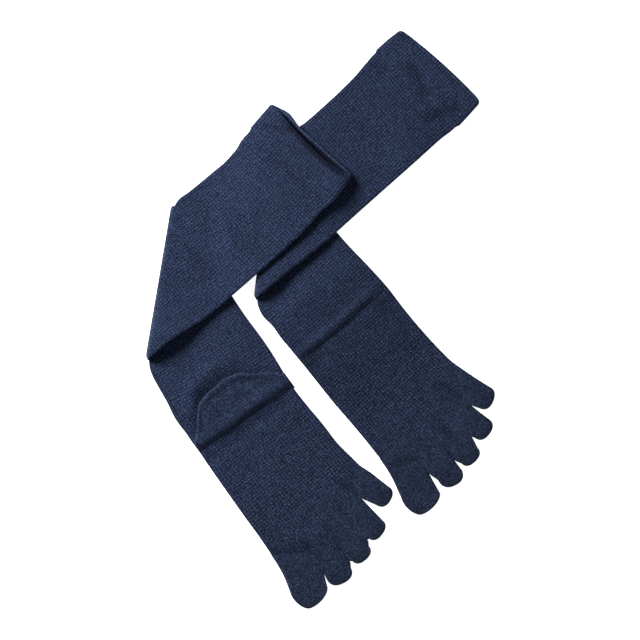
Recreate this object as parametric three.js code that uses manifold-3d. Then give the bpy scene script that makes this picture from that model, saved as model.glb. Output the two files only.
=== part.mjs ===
// A pair of knee-high toe socks, each one a flattened knitted tube folded once across the leg.
// The left sock lies instep up, the right sock lies sole up and its leg crosses over the left one.
// Millimetres, +Z up, the table top is z = 0 and the origin is the middle of the pair.
import * as THREE from 'three';
import { mergeVertices } from 'three/addons/utils/BufferGeometryUtils.js';
import Module from 'manifold-3d';

const wasm = await Module();
wasm.setup();

// Cloth
const WALL = 1.3; // knitted wall
const HOLLOW = 0.6; // room between the two walls of a flattened tube
const TUBE = 2 * WALL + HOLLOW;
const CLEAR = 0.5; // air between two layers
const LAYER = TUBE + CLEAR;
const DROOP = 36; // run over which a layer comes down beside what holds it up
const OVERHANG = 5; // run that the upper sock stays up beyond the edges of the lower one
const BEND = LAYER / 2; // radius of the fold, at the middle of the tube

// Section of the tube: flat columns for each toe's share, and the steps of a rounded edge
const TOE_COLUMNS = [3, 2, 2, 2, 2];
const EDGE_STEPS = 4;
const FOLD_STEPS = 6;

// Heel pocket, laid flat as a flap of two layers
const FLAP = 2.4; // two walls, pressed
const FLAP_STEPS = 14;

// Its section from the foot's side of the base line (v < 0) towards the rim: height of its top and its
// underside, over the sock's own top for the flap that lies on the sock, over the table for the other
const FLAP_ABOVE = [
  { v: -5, under: -0.9, top: -0.3 },
  { v: -3, under: -0.85, top: 0.8 },
  { v: -1, under: -0.7, top: 2 },
  { v: 1.5, under: -0.1, top: 2.7 },
  { v: 4, under: CLEAR, top: CLEAR + FLAP },
];
const FLAP_BENEATH = [
  { v: -8.5, under: 0, top: 1.5 },
  { v: -4, under: 0, top: 2.6 },
  { v: -0.5, under: 0, top: 3.6 },
  { v: 4, under: 0, top: FLAP },
];

// Stations down each sock: middle of the tube, flat width, and turn of the cross line in degrees.
// `lower` runs from the fold to the toes, `upper` from the fold to the cuff.
const RIGHT_SOCK = {
  lower: [
    { x: -144.5, y: 31.5, width: 144, turn: 81.5 },
    { x: -131, y: 6.5, width: 134, turn: 73.5 },
    { x: -116, y: -18, width: 124, turn: 66.5 },
    { x: -101, y: -43, width: 116, turn: 57.5 },
    { x: -85, y: -65, width: 110, turn: 47.5 },
    { x: -69.5, y: -89, width: 105, turn: 36 },
    { x: -55, y: -109, width: 106, turn: 35 },
    { x: -40.5, y: -128, width: 108, turn: 36.5 },
    { x: -26.5, y: -147, width: 109, turn: 38 },
    { x: -13, y: -163, width: 112, turn: 40 },
  ],
  upper: [
    { x: -144.5, y: 31.5, width: 144, turn: 81.5 },
    { x: -130, y: 46, width: 129, turn: 88.5 },
    { x: -112.5, y: 58.5, width: 117, turn: 97.5 },
    { x: -95.5, y: 72.5, width: 108, turn: 106 },
    { x: -78.5, y: 87, width: 102.5, turn: 113.5 },
    { x: -61, y: 102, width: 98.5, turn: 121.5 },
    { x: -45.5, y: 117.5, width: 97.5, turn: 130 },
    { x: -35, y: 130.5, width: 98.5, turn: 136.5 },
    { x: -23, y: 143, width: 100, turn: 137.5 },
    { x: -5, y: 163.5, width: 100.5, turn: 138 },
  ],
  // Between the toes, from the big toe's outer side to the little toe's: where each slit starts,
  // and where the toes part at its mouth
  webs: [
    { x: -45, y: -215, mouthX: -34, mouthY: -233 },
    { x: -7.5, y: -216, mouthX: 3.5, mouthY: -233 },
    { x: 14.5, y: -203.5, mouthX: 27.5, mouthY: -221 },
    { x: 26.5, y: -186, mouthX: 43.5, mouthY: -201.5 },
    { x: 32, y: -160, mouthX: 38.5, mouthY: -164.5 },
    { x: 38, y: -135, mouthX: 48.5, mouthY: -142 },
  ],
  // Widest line near each toe's tip and the height of its rounded end
  toes: [
    { leftX: -26.5, leftY: -251.5, rightX: 8, rightY: -247, end: 17 },
    { leftX: 7.5, leftY: -240, rightX: 29.5, rightY: -229, end: 9.5 },
    { leftX: 30.5, leftY: -222.5, rightX: 46, rightY: -209, end: 7.5 },
    { leftX: 46, leftY: -202, rightX: 58.5, rightY: -185, end: 7.5 },
    { leftX: 53.5, leftY: -171.5, rightX: 63.5, rightY: -153.5, end: 8.5 },
  ],
  heel: { x: -67.5, y: -91, width: 100, turn: 35.5, depth: 37 },
  // Where the folded-back leg stands off what lies beneath it
  hills: [
    { x: 30, y: 128, radius: 30, height: 4 },
    { x: -134, y: -18, radius: 30, height: 4 },
  ],
  mouth: { open: 2.6, setBack: 9, bow: 0.8 },
};

const LEFT_SOCK = {
  lower: [
    { x: -48.5, y: 87, width: 138, turn: 83.5 },
    { x: -36, y: 65, width: 128, turn: 75.5 },
    { x: -21, y: 46.5, width: 114.5, turn: 67.5 },
    { x: -7, y: 28.5, width: 107.5, turn: 58.5 },
    { x: 8, y: 12, width: 105, turn: 49 },
    { x: 22.5, y: -4.5, width: 105, turn: 40.5 },
    { x: 37.5, y: -23.5, width: 104.5, turn: 39.5 },
    { x: 52.5, y: -42, width: 105, turn: 40.5 },
    { x: 67.5, y: -59, width: 105.5, turn: 42 },
    { x: 81, y: -74, width: 107, turn: 44 },
  ],
  upper: [
    { x: -48.5, y: 87, width: 138, turn: 83.5 },
    { x: -32, y: 101.5, width: 125, turn: 90.5 },
    { x: -15, y: 116.5, width: 113.5, turn: 98.5 },
    { x: 2.5, y: 131, width: 105, turn: 106 },
    { x: 20.5, y: 147, width: 99.5, turn: 113 },
    { x: 40.5, y: 165, width: 96.5, turn: 120 },
    { x: 60.5, y: 183.5, width: 96, turn: 127 },
    { x: 77, y: 200, width: 98, turn: 133 },
    { x: 88.5, y: 210.5, width: 100.5, turn: 137 },
    { x: 112, y: 233.5, width: 97, turn: 138 },
  ],
  webs: [
    { x: 55, y: -127, mouthX: 65.5, mouthY: -143 },
    { x: 94, y: -128, mouthX: 100.5, mouthY: -141 },
    { x: 114, y: -113.5, mouthX: 123.5, mouthY: -128.5 },
    { x: 127.5, y: -98.5, mouthX: 139.5, mouthY: -107.5 },
    { x: 129, y: -71, mouthX: 138.5, mouthY: -78.5 },
    { x: 127.5, y: -43, mouthX: 139, mouthY: -51 },
  ],
  toes: [
    { leftX: 75.5, leftY: -164.5, rightX: 111.5, rightY: -160.5, end: 17.5 },
    { leftX: 109.5, leftY: -148.5, rightX: 131.5, rightY: -139, end: 10.5 },
    { leftX: 131, leftY: -133, rightX: 146, rightY: -118.5, end: 7.5 },
    { leftX: 143.5, leftY: -109.5, rightX: 156.5, rightY: -92, end: 8.5 },
    { leftX: 148.5, leftY: -82.5, rightX: 156.5, rightY: -62, end: 8.5 },
  ],
  heel: { x: 23, y: -5, width: 95, turn: 40, depth: 36 },
  hills: [{ x: -38, y: 34, radius: 28, height: 4 }],
  mouth: { open: 0.6, setBack: 1.2, bow: 2.2 },
};

const COLORS = { right_sock: 0x2d3650, left_sock: 0x2c3550 };

// ---------------------------------------------------------------- small helpers

const radians = (degrees) => (degrees * Math.PI) / 180;
const mix = (a, b, t) => a + (b - a) * t;
const clamp = (v) => Math.min(1, Math.max(0, v));
const plan = (x, y) => new THREE.Vector2(x, y);
const crossLine = (turn) => plan(Math.cos(radians(turn)), Math.sin(radians(turn)));

// Smooth step down from 1 at d = 0 to 0 at d = run
function fall(d, run) {
  const t = clamp(d / run);
  return 1 - t * t * (3 - 2 * t);
}

// How far p lies on the left of the line from a to b
function leftOf(p, a, b) {
  const along = b.clone().sub(a).normalize();
  return along.cross(p.clone().sub(a));
}

// Ends of a station's cross line
function leftEnd(row) {
  return plan(row.x, row.y).addScaledVector(crossLine(row.turn), -row.width / 2);
}

function rightEnd(row) {
  return plan(row.x, row.y).addScaledVector(crossLine(row.turn), row.width / 2);
}

// Stations between the rows of a table, each field on a smooth curve through its rows
function stations(rows, steps) {
  const curve = (key) => new THREE.CatmullRomCurve3(rows.map((row, i) => new THREE.Vector3(i, row[key], 0)));
  const fields = {};
  for (const key of ['x', 'y', 'width', 'turn']) fields[key] = curve(key);
  const result = [];
  const count = (rows.length - 1) * steps;
  for (let i = 0; i <= count; i++) {
    const t = i / count;
    const row = {};
    for (const key of Object.keys(fields)) row[key] = fields[key].getPoint(t).y;
    result.push(row);
  }
  return result;
}

// ---------------------------------------------------------------- heights

// A leg folded back rests on the leg beneath it and comes down to the table beside it
function ownLayer(sock, p) {
  const beside = leftOf(p, rightEnd(sock.lower[5]), rightEnd(sock.lower[0]));
  return LAYER * fall(-beside, DROOP);
}

// Hills of the folded-back leg, each a bell round its middle
function standOff(sock, p) {
  let lift = 0;
  for (const hill of sock.hills) {
    const d = Math.hypot(p.x - hill.x, p.y - hill.y) / hill.radius;
    lift += hill.height * Math.exp(-d * d);
  }
  return lift;
}

// The heel pocket under the left sock lifts it: half an ellipse on the leg's side of the pocket's base
function heelBump(sock, p) {
  const { heel } = sock;
  const rel = p.clone().sub(plan(heel.x, heel.y));
  const u = rel.dot(crossLine(heel.turn)) / (heel.width / 2 + 5);
  const v = rel.dot(crossLine(heel.turn + 90));
  const reach = Math.hypot(u, Math.max(v, 0) / (heel.depth + 5));
  return fall(reach - 0.95, 0.6) * fall(-v, 12.5);
}

// Ground under each stretch of each sock
const ground = {
  rightLower: () => 0,
  leftLower: (p) => (FLAP + CLEAR) * heelBump(LEFT_SOCK, p),
  leftUpper: (p) => ownLayer(LEFT_SOCK, p) + standOff(LEFT_SOCK, p),
  rightUpper: (p) => {
    const fold = LEFT_SOCK.upper[0];
    const cuff = LEFT_SOCK.upper[8];
    const pastFold = leftOf(p, leftEnd(fold), rightEnd(fold)) - BEND - TUBE / 2;
    const pastEdge = leftOf(p, rightEnd(fold), rightEnd(cuff));
    const past = Math.max(pastFold, pastEdge) - OVERHANG;
    const other = (ground.leftUpper(p) + LAYER + CLEAR) * fall(past, 1.2 * DROOP);
    const own = ownLayer(RIGHT_SOCK, p);
    return Math.pow(own ** 4 + other ** 4, 0.25) + standOff(RIGHT_SOCK, p);
  },
};

// ---------------------------------------------------------------- sections of a tube

// One flat section: points round a stadium `width` by `height`, from the left edge over the top to the
// right edge and back underneath. `cuts` are the shares of the width where columns stand.
function section(width, height, cuts) {
  const round = height / 2;
  const points = [];
  const flat = width - height;
  for (let i = 0; i <= EDGE_STEPS; i++) {
    const a = Math.PI * (1.5 - i / EDGE_STEPS);
    points.push({ s: -flat / 2 + round * Math.cos(a), h: round * Math.sin(a) });
  }
  for (const cut of cuts) points.push({ s: mix(-flat / 2, flat / 2, cut), h: round });
  for (let i = 0; i <= EDGE_STEPS; i++) {
    const a = Math.PI * (0.5 - i / EDGE_STEPS);
    points.push({ s: flat / 2 + round * Math.cos(a), h: round * Math.sin(a) });
  }
  for (const cut of [...cuts].reverse()) points.push({ s: mix(-flat / 2, flat / 2, cut), h: -round });
  return points;
}

// Shares of the width where the columns stand, at the toes' roots
function webCuts(webs) {
  const reach = [0];
  for (let i = 1; i < webs.length; i++) {
    reach.push(reach[i - 1] + Math.hypot(webs[i].x - webs[i - 1].x, webs[i].y - webs[i - 1].y));
  }
  const total = reach[reach.length - 1];
  const cuts = [];
  TOE_COLUMNS.forEach((columns, toe) => {
    for (let c = 1; c <= columns; c++) cuts.push(mix(reach[toe], reach[toe + 1], c / columns) / total);
  });
  cuts.pop();
  return cuts;
}

// Rows of quads between successive rings, joined all round
function skin(triangles, rings, flip) {
  for (let r = 0; r + 1 < rings.length; r++) {
    const a = rings[r];
    const b = rings[r + 1];
    for (let i = 0; i < a.length; i++) {
      const j = (i + 1) % a.length;
      quad(triangles, a[i], a[j], b[j], b[i], flip);
    }
  }
}

function quad(triangles, a, b, c, d, flip) {
  if (flip) triangles.push(a, c, b, a, d, c);
  else triangles.push(a, b, c, a, c, d);
}

// Closes a flat ring by strips from its top to its bottom
function endCap(triangles, ring, columns, flip) {
  const half = EDGE_STEPS / 2;
  const top = [];
  const under = [];
  const count = ring.length;
  for (let i = 0; i <= EDGE_STEPS + columns; i++) {
    top.push(ring[(half + i) % count]);
    under.push(ring[(half - i + count) % count]);
  }
  for (let i = 0; i + 1 < top.length; i++) quad(triangles, top[i], under[i], under[i + 1], top[i + 1], !flip);
}

// ---------------------------------------------------------------- one sock

// Skin of a sock at `inset` under its outer face: cuff, folded leg, heel, foot and five toes.
function sockSkin(sock, side, inset, triangles, flip) {
  const height = TUBE - 2 * inset;
  const cuts = webCuts(sock.webs);
  const rings = [];
  const at = (row, point, z) => {
    const across = crossLine(row.turn);
    return new THREE.Vector3(row.x + across.x * point.s, row.y + across.y * point.s, z);
  };
  const lower = stations(sock.lower, 2);
  const upper = stations(sock.upper, 2);

  // Folded-back leg, from the cuff to the fold; what was on top now faces the table
  const last = upper.length - 1;
  for (let i = last; i >= 1; i--) {
    const row = upper[i];
    const nearMouth = clamp((i - last + 4) / 4);
    const open = sock.mouth.open * nearMouth * nearMouth;
    const ring = section(row.width - 2 * inset, height, cuts).map((point) => {
      const p = at(row, point, 0);
      const spread = 1 - (2 * point.s / row.width) ** 2;
      const swell = point.h < 0 ? open * spread : 0;
      if (i === last) {
        const along = crossLine(row.turn + 90);
        const shift = (point.h < 0 ? sock.mouth.setBack : 0) - sock.mouth.bow;
        p.addScaledVector(new THREE.Vector3(along.x, along.y, 0), shift * spread);
      }
      p.z = ground[side + 'Upper'](plan(p.x, p.y)) + TUBE / 2 - point.h + swell;
      return p;
    });
    rings.push(ring);
  }

  // Half turn of the fold, about an axis one clearance inside the upper layer's underside
  const fold = lower[0];
  const out = crossLine(fold.turn + 90);
  for (let k = FOLD_STEPS; k >= 0; k--) {
    const a = (Math.PI * k) / FOLD_STEPS;
    rings.push(section(fold.width - 2 * inset, height, cuts).map((point) => {
      const p = at(fold, point, 0);
      const reach = BEND - point.h;
      p.x += out.x * reach * Math.sin(a);
      p.y += out.y * reach * Math.sin(a);
      p.z = TUBE / 2 + BEND - reach * Math.cos(a) + standOff(sock, p) * (1 - Math.cos(a)) / 2;
      return p;
    }));
  }

  // Lower leg, heel and foot
  for (let i = 1; i < lower.length; i++) {
    rings.push(section(lower[i].width - 2 * inset, height, cuts).map((point) => {
      const p = at(lower[i], point, 0);
      p.z = ground[side + 'Lower'](plan(p.x, p.y)) + TUBE / 2 + point.h;
      return p;
    }));
  }

  // Roots of the toes: the ring bends forward to each slit's start
  const starts = sock.webs.map((web) => plan(web.x, web.y));
  const back = plan(sock.lower[9].x, sock.lower[9].y).sub(plan(sock.toes[1].leftX, sock.toes[1].leftY)).normalize();
  for (let w = 1; w < 5; w++) starts[w].addScaledVector(back, 1.8 * inset);
  const across = starts[5].clone().sub(starts[0]).normalize();
  starts[0].addScaledVector(across, inset);
  starts[5].addScaledVector(across, -inset);
  const line = [];
  TOE_COLUMNS.forEach((columns, toe) => {
    for (let c = 0; c < columns; c++) line.push(starts[toe].clone().lerp(starts[toe + 1], c / columns));
  });
  line.push(starts[5].clone());
  const round = height / 2;
  const root = (p, h) => new THREE.Vector3(p.x, p.y, TUBE / 2 + h);
  const edge = (p, direction, left) => {
    const points = [];
    for (let i = 0; i <= EDGE_STEPS; i++) {
      const a = left ? Math.PI * (1.5 - i / EDGE_STEPS) : Math.PI * (0.5 - i / EDGE_STEPS);
      const reach = round * (Math.cos(a) + (left ? 1 : -1));
      points.push(root(p.clone().addScaledVector(direction, reach), round * Math.sin(a)));
    }
    return points;
  };
  const inner = line.slice(1, -1);
  rings.push([
    ...edge(line[0], across, true),
    ...inner.map((p) => root(p, round)),
    ...edge(line[line.length - 1], across, false),
    ...inner.map((p) => root(p, -round)).reverse(),
  ]);
  skin(triangles, rings, flip);

  // Toes
  let column = 0;
  TOE_COLUMNS.forEach((columns, toe) => {
    const run = line.slice(column, column + columns + 1);
    column += columns;
    const first = toe === 0;
    const final = toe === TOE_COLUMNS.length - 1;
    const upright = (p) => [4, 3, 2, 1, 0].map((i) => root(p, round * Math.sin(Math.PI * (0.5 - i / EDGE_STEPS))));
    const middle = run.slice(1, -1);
    const toeRings = [[
      ...(first ? edge(run[0], across, true) : upright(run[0])),
      ...middle.map((p) => root(p, round)),
      ...(final ? edge(run[run.length - 1], across, false) : upright(run[run.length - 1]).reverse()),
      ...middle.map((p) => root(p, -round)).reverse(),
    ]];
    const shares = middle.map((p, i) => (i + 1) / columns);
    for (const { left, right } of toeLines(sock, toe, inset)) {
      const span = right.clone().sub(left);
      const direction = span.clone().normalize();
      const centre = left.clone().addScaledVector(span, 0.5);
      toeRings.push(section(span.length(), height, shares).map((point) => {
        return root(centre.clone().addScaledVector(direction, point.s), point.h);
      }));
    }
    skin(triangles, toeRings, flip);
    endCap(triangles, toeRings[toeRings.length - 1], columns, flip);
  });
  return rings[0];
}

// Left and right side of a toe at lines from its slit to its tip
function toeLines(sock, toe, inset) {
  const SLIT = 0.3;
  const from = sock.webs[toe];
  const to = sock.webs[toe + 1];
  const tip = sock.toes[toe];
  const side = (web, x, y, t) => {
    const mouth = plan(web.mouthX, web.mouthY);
    if (t < 0.6) return plan(web.x, web.y).lerp(mouth, t / 0.6);
    return mouth.lerp(plan(x, y), (t - 0.6) / 0.4);
  };
  const lines = [];
  for (const t of [0.12, 0.35, 0.6, 1]) {
    const left = side(from, tip.leftX, tip.leftY, t);
    const right = side(to, tip.rightX, tip.rightY, t);
    lines.push({ left, right, slit: t < 0.9 ? SLIT : 0 });
  }
  const last = lines[lines.length - 1];
  const span = last.right.clone().sub(last.left);
  const forward = plan(span.y, -span.x).normalize();
  const centre = last.left.clone().addScaledVector(span, 0.5);
  for (const t of [0.35, 0.65, 0.88]) {
    const half = span.clone().multiplyScalar(0.5 * Math.sqrt(1 - t ** 2.6));
    const ahead = centre.clone().addScaledVector(forward, (tip.end - 1.4 * inset) * t);
    lines.push({ left: ahead.clone().sub(half), right: ahead.clone().add(half), slit: 0 });
  }
  return lines.map(({ left, right, slit }) => {
    const direction = right.clone().sub(left).normalize();
    return {
      left: left.addScaledVector(direction, inset + slit),
      right: right.addScaledVector(direction, -inset - slit),
    };
  });
}

// Closed skin: outside, inside and the rim that joins them at the cuff's mouth
function sockTriangles(sock, side) {
  const triangles = [];
  const outer = sockSkin(sock, side, 0, triangles, true);
  const inner = sockSkin(sock, side, WALL, triangles, false);
  for (let i = 0; i < outer.length; i++) {
    const j = (i + 1) % outer.length;
    quad(triangles, outer[j], outer[i], inner[i], inner[j], true);
  }
  return triangles;
}

function solid(triangles) {
  const geometry = new THREE.BufferGeometry().setFromPoints(triangles);
  const merged = mergeVertices(geometry, 1e-3);
  const mesh = new wasm.Mesh({
    numProp: 3,
    vertProperties: new Float32Array(merged.attributes.position.array),
    triVerts: new Uint32Array(merged.index.array),
  });
  return new wasm.Manifold(mesh);
}

// Heel pocket: a flat flap from its base line, let into the sock's wall, to a half-round rim on the leg's
// side. Its sections run from the base to the rim and stand side by side across the sock.
function heelFlap(sock, sections, datum) {
  const { heel } = sock;
  const across = crossLine(heel.turn);
  const toLeg = crossLine(heel.turn + 90);
  const triangles = [];
  const rings = [];
  for (let i = 0; i <= FLAP_STEPS; i++) {
    const u = -Math.cos((Math.PI * (i + 0.35)) / (FLAP_STEPS + 0.7));
    const share = Math.sqrt(1 - u * u);
    const at = (v, z) => {
      const x = heel.x + across.x * u * heel.width / 2 + toLeg.x * v;
      const y = heel.y + across.y * u * heel.width / 2 + toLeg.y * v;
      return new THREE.Vector3(x, y, datum + z);
    };
    const body = sections.map((row) => ({ v: row.v * mix(0.3, 1, share), top: row.top, under: row.under }));
    const { top, under } = sections[sections.length - 1];
    const middle = (top + under) / 2;
    const round = (top - under) / 2;
    const rim = Math.max(heel.depth * share - round, body[body.length - 1].v + 0.8);
    const ring = body.map((row) => at(row.v, row.top));
    for (const a of [90, 45, 0, -45, -90]) {
      ring.push(at(rim + round * Math.cos(radians(a)), middle + round * Math.sin(radians(a))));
    }
    ring.push(...body.map((row) => at(row.v, row.under)).reverse());
    rings.push(ring);
  }
  skin(triangles, rings, true);
  const count = rings[0].length;
  for (let i = 0; i + 1 < count / 2; i++) {
    const j = count - 1 - i;
    for (const [ring, flip] of [[rings[0], false], [rings[FLAP_STEPS], true]]) {
      quad(triangles, ring[i], ring[i + 1], ring[j - 1], ring[j], flip);
    }
  }
  return solid(triangles);
}

const group = new THREE.Group();

function addSock(name, sock, side, flap) {
  const body = solid(sockTriangles(sock, side)).add(flap);
  const { vertProperties, triVerts } = body.getMesh();
  const geometry = new THREE.BufferGeometry();
  geometry.setAttribute('position', new THREE.BufferAttribute(vertProperties, 3));
  geometry.setIndex(new THREE.BufferAttribute(triVerts, 1));
  geometry.computeVertexNormals();
  const material = new THREE.MeshStandardMaterial({ color: COLORS[name], roughness: 0.95, metalness: 0 });
  const mesh = new THREE.Mesh(geometry, material);
  mesh.name = name;
  group.add(mesh);
}

addSock('right_sock', RIGHT_SOCK, 'right', heelFlap(RIGHT_SOCK, FLAP_ABOVE, TUBE));
addSock('left_sock', LEFT_SOCK, 'left', heelFlap(LEFT_SOCK, FLAP_BENEATH, 0));

export default group;
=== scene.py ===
import math

import bmesh
import bpy
import mathutils
import numpy as np
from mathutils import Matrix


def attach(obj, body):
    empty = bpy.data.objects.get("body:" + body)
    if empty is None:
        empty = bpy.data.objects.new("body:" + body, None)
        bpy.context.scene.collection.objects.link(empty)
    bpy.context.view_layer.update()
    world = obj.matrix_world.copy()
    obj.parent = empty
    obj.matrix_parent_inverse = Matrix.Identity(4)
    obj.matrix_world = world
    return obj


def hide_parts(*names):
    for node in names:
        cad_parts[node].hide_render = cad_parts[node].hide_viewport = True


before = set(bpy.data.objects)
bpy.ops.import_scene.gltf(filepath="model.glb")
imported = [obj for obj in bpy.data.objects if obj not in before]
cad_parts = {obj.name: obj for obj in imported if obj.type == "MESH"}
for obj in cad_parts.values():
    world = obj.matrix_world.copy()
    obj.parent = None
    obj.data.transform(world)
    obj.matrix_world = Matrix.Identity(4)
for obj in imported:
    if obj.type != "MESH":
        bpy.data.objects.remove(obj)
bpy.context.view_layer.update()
print("frame loaded")

# sizes are in millimetres until the meshes are filled
cloth = {
    "wall": 1.3,          # one knitted wall
    "tube": 3.2,          # the two walls of a flattened tube and what is left between them
    "clear": 0.5,         # air between two layers
    "droop": 36.0,        # run over which a layer comes down beside what holds it up
    "overhang": 5.0,      # run that the upper sock stays up beyond the lower one's edges
    "edgeSteps": 8,       # steps round a folded edge
    "ringGap": 2.0,       # spacing of the rings along the tube
    "foldSteps": 12,      # steps of the half turn where the leg is folded back
    "rootSteps": 8,       # rings between the foot's last row and the roots of the toes
    "wales": 72,          # wales across one flat side
    "course": 1.4,        # height of a course
    "welt": 29.0,         # depth of the doubled cloth at the cuff
    "troughShade": 0.1,    # painted shade: how much darker the knit is drawn for each millimetre of a trough
}
toeCut = {
    "columns": (16, 12, 12, 12, 12),         # columns on the top of each toe, from the big one
    "rings": 22,          # rings from the root to the widest line
    "endRings": 9,        # rings round the end
    "power": (1.6, 2.3, 2.3, 2.3, 2.3),      # power of the oval at each toe's end
    "lean": (1.9, 0, 0, 0, 0),               # how far that oval leans to the outer side
    "swell": 0.9,         # how much thicker than the foot
    "overlap": 0.25,      # how far neighbours run into each other at their roots
}
layer = cloth["tube"] + cloth["clear"]
bend = layer / 2

# lower and upper rows: x, y, flat width and turn of the cross line in degrees, from the fold outwards
# webs: start of each slit between the toes and the point where the toes part
# toes: left and right end of the widest line near the tip, and the height of the rounded end
# heel: middle of the pocket's base, width, turn, depth; rim: share of the half width, reach from the base
# dimples and creases: x, y of both ends, half width and height of a soft trough (-) or ridge (+)
# mouth, sizes: open = swell of the panel that shows at the cuff, setBack and skew = how far its edge stands
#   behind the other one's and towards which side, bow = bow of the edge, curl = rise of the far panel's edge,
#   corner = rounding of the edge's ends, bulge = far panel's edge pulled out near its end,
#   step = the welt's extra width at its left and its right end
# mouth, painted: inside = hollow's shade, rim = far edge's highlight, lip = near edge's shadow, line = darker
# line behind it
# hollow and shade: painted shade round the heel pocket and across the foot
# hills: x, y, radius and height where the folded-back leg stands off what lies beneath
rightSock = {
    "lower": [(-144.5, 33, 144.4, 80.4), (-140.9, 24.5, 141.2, 77.8), (-134.5, 12, 136, 74.5),
              (-116, -18, 124, 66.5), (-101, -43, 116, 57.5),
              (-85, -65, 110, 47.5), (-69.5, -89, 105, 36), (-55, -109, 106, 35), (-40.5, -128, 108, 36.5),
              (-26.5, -147, 109, 38), (-13, -163, 112, 40)],
    "upper": [(-144.1, 34.4, 141.4, 80.6), (-130, 47, 127, 88.5), (-112.5, 58.5, 117, 97.5),
              (-95.5, 72.5, 108, 106), (-78.5, 87, 102.5, 113.5), (-61, 102, 98.5, 121.5),
              (-45.5, 117.5, 97.5, 130), (-35, 130.5, 98.5, 136.5), (-23, 143, 100, 137.5),
              (-5.9, 164.3, 98, 138)],
    "webs": [(-45, -215, -34, -233), (-7.5, -216, 3.5, -233), (14.5, -203.5, 27.5, -221),
             (26.5, -186, 43.5, -201.5), (32, -160, 38.5, -164.5), (38, -135, 48.5, -142)],
    "toes": [(-26.5, -251.5, 8, -247, 17), (7.5, -240, 29.5, -229, 9.5), (30.5, -222.5, 46, -209, 7.5),
             (46, -202, 58.5, -185, 7.5), (53.5, -171.5, 63.5, -153.5, 8.5)],
    "heel": (-67.5, -91, 100, 35.5, 39.5),
    "rim": [(-1.04, 8), (-0.83, 18), (-0.57, 34), (-0.37, 38), (-0.12, 39.5), (0.15, 39), (0.38, 37.5),
            (0.55, 30), (0.8, 22.5), (1.065, 12)],
    "dimples": [(-80, -50, -62, -53, 2.2, 0.6), (-78, -58, -64, -60, 2.4, -1.1),
                (-62, -52, -48, -54, 3.5, -0.7)],
    "mouth": {"open": 5.0, "setBack": 7.0, "bow": 0.8, "skew": 0.7, "curl": 1.4, "corner": 3.0,
              "bulge": 3.4, "step": (0.5, 1.6), "inside": -0.7, "rim": 0.3, "lip": -0.55, "line": 0.0},
    "hollow": 0.26,
    "shade": 0.0,
    "hills": [(20, 117, 24, 5.5), (-14, 82, 30, 1.2), (-138, -20, 32, 8)],
}
leftSock = {
    "lower": [(-48.9, 86.5, 139, 83.3), (-44.2, 77.8, 134.7, 79.9), (-36, 65, 128, 75.5),
              (-21, 46.5, 114.5, 67.5), (-7, 28.5, 107.5, 58.5),
              (8, 12, 105, 49), (22.5, -4.5, 105, 40.5), (37.5, -23.5, 104.5, 39.5), (52.5, -42, 105, 40.5),
              (67.5, -59, 105.5, 42), (81, -74, 107, 44)],
    "upper": [(-48.4, 88, 136, 83.5), (-32, 102.3, 123.4, 90.5), (-15, 116.5, 113.5, 98.5),
              (2.5, 131, 105, 106), (20.5, 147, 99.5, 113), (40.5, 165, 96.5, 120),
              (60.5, 183.5, 96, 127), (77, 200, 98, 133), (88.5, 210.5, 100.5, 137),
              (112, 233.5, 97, 138)],
    "webs": [(55, -127, 65.5, -143), (94, -128, 100.5, -141), (114, -113.5, 123.5, -128.5),
             (127.5, -98.5, 139.5, -107.5), (129, -71, 138.5, -78.5), (127.5, -43, 139, -51)],
    "toes": [(75.5, -164.5, 111.5, -160.5, 17.5), (109.5, -148.5, 131.5, -139, 10.5),
             (131, -133, 146, -118.5, 7.5), (143.5, -109.5, 156.5, -92, 8.5),
             (148.5, -82.5, 156.5, -62, 8.5)],
    "heel": (23, -5, 95, 40, 36),
    "rim": [(-1.0, 3), (-0.92, 14), (-0.75, 24), (-0.4, 33), (0, 36), (0.4, 33), (0.75, 24), (0.92, 14),
            (1.0, 3)],
    "dimples": [],
    "mouth": {"open": 0.8, "setBack": 1.6, "bow": 2.2, "skew": 1.0, "curl": 0.8, "corner": 5.0,
              "bulge": 0.0, "step": (1.6, 1.6), "inside": -0.1, "rim": 0.3, "lip": 0.1, "line": -0.2},
    "hollow": 0.0,
    "shade": 0.1,
    "hills": [(-44, 28, 23, 5.5), (-8, 58, 30, 2.4)],
}

rightCreases = {
    "lower": [(-120, -90, -116, -60, 8.0, 2.5), (-118, -66, -97, -45, 8.5, 2.7),
              (-101, -47, -78, -35, 8.0, 1.7), (-103, -132, -27, -73, 4.6, -1.0),
              (-96, -141, -20, -82, 7.0, 0.4), (-60, -150, -20, -118, 9.0, 0.4),
              (-46, -216, -6, -213, 3.2, -2.0), (-42, -206, 2, -203, 6.0, 1.2),
              (-14, -204, 8, -226, 3.4, -1.5), (6, -190, 22, -212, 3.4, -1.4),
              (18, -172, 36, -194, 3.4, -1.4), (18, -150, 38, -163, 3.4, -1.4),
              (-2, -178, 24, -150, 10.0, 0.5)],
    "upper": [(-128, 73, -94, 39, 3.0, -0.9), (-133, 67, -99, 33, 5.0, 0.6),
              (-16, 126, 6, 104, 4.0, -0.9), (-60, 176, -20, 172, 3.0, -0.8),
              (-78, 98, -66, 60, 9.0, -0.5), (-46, 152, -16, 124, 6.0, -0.7),
              (-30, 160, -4, 138, 6.0, 0.7)],
}
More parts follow.
